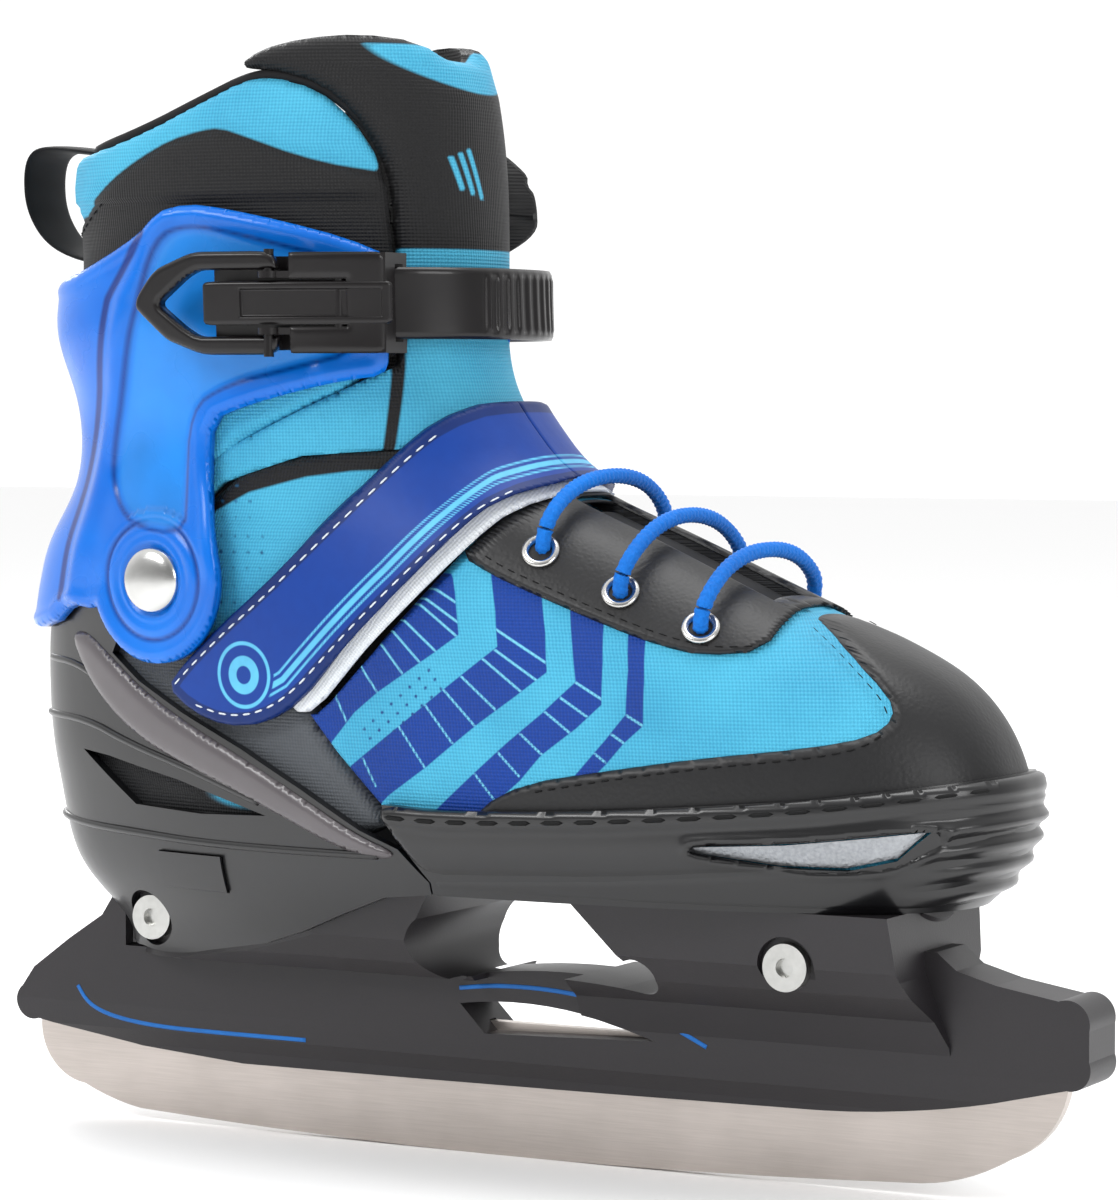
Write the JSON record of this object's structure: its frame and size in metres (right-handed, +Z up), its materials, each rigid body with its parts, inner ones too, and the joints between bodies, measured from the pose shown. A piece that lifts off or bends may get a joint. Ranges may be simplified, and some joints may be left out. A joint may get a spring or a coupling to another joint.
{
  "type": "adjustable ice skate",
  "caption": "Adjustable ice skate for the right foot: padded boot in a heel and toe shell, hinged ankle cuff with ladder buckle, instep strap, laces, and a steel blade in a moulded holder.",
  "frame": {"origin": "on the ice under the middle of the skate, at the lowest point of the blade", "axes": "+X to the toe, +Y to the inner side of the foot, +Z up"},
  "size_m": [0.2923, 0.098, 0.2695],
  "materials": {
    "blade_steel": "ground, warm grey",
    "holder_plastic": "moulded, fine grain",
    "bolt_steel": "zinc plated",
    "shell_plastic": "polished moulding",
    "lining_cloth": "brushed lining",
    "grey_mesh": "fine mesh",
    "hook_tape": "white tape",
    "strap_cloth": "royal blue cloth with a bound edge",
    "rivet_steel": "satin",
    "screen_steel": "woven wire",
    "cyan_weave": "printed weave",
    "black_leather": "grained, stitched",
    "eyelet_metal": "nickel plated",
    "lace_cord": "braided",
    "cuff_plastic": "polished moulding",
    "webbing": "ribbed webbing",
    "buckle_plastic": "polished moulding"
  },
  "bodies": {
    "frame": {"blade": "blade_steel", "blade_holder": "holder_plastic", "holder_bolts": "bolt_steel", "sleeve_nuts": "bolt_steel", "sole_plate": "shell_plastic", "footbed": "lining_cloth", "heel_shell": "shell_plastic", "heel_liner": "grey_mesh", "under_strap": "hook_tape", "strap_base": "strap_cloth", "ankle_rivets": "rivet_steel"},
    "toe": {"toe_shell": "shell_plastic", "vent_screens": "screen_steel", "vamp": "cyan_weave", "throat_lining": "lining_cloth", "toe_cap": "black_leather", "eyestays": "black_leather", "eyelets": "eyelet_metal", "laces": "lace_cord"},
    "cuff": {"cuff": "cuff_plastic", "collar": "lining_cloth", "tongue": "cyan_weave", "pull_loop": "webbing", "buckle_frame": "buckle_plastic", "lever_pins": "bolt_steel", "tab_pin": "bolt_steel", "ladder_strap": "buckle_plastic", "ladder_mount": "buckle_plastic", "ladder_screw": "bolt_steel"},
    "lever": {"buckle_lever": "buckle_plastic"},
    "tab": {"release_tab": "buckle_plastic"},
    "button": {"size_button": "shell_plastic"},
    "flap": {"strap_flap": "strap_cloth"}
  },
  "joints": [
    {"name": "toe_extend", "type": "slide", "parent": "frame", "child": "toe", "axis": [1, 0, 0], "range_m": [0, 0.015]},
    {"name": "ankle_flex", "type": "hinge", "parent": "frame", "child": "cuff", "pos_m": [-0.083, 0, 0.139], "axis": [0, 1, 0], "range_deg": [-2, 6]},
    {"name": "lever_open", "type": "hinge", "parent": "cuff", "child": "lever", "pos_m": [-0.045, -0.04672, 0.205], "axis": [0, 0, 1], "range_deg": [0, 75]},
    {"name": "tab_press", "type": "hinge", "parent": "cuff", "child": "tab", "pos_m": [-0.029, -0.04138, 0.205], "axis": [0, 0, 1], "range_deg": [0, 8], "stiffness_Nm_per_rad": 0.05},
    {"name": "size_button_press", "type": "slide", "parent": "frame", "child": "button", "axis": [0, 1, 0], "range_m": [0, 0.002], "stiffness_N_per_m": 400},
    {"name": "strap_peel", "type": "hinge", "parent": "frame", "child": "flap", "pos_m": [0.00725, -0.004, 0.17275], "axis": [-0.7254, 0, 0.6884], "range_deg": [0, 40]}
  ]
}
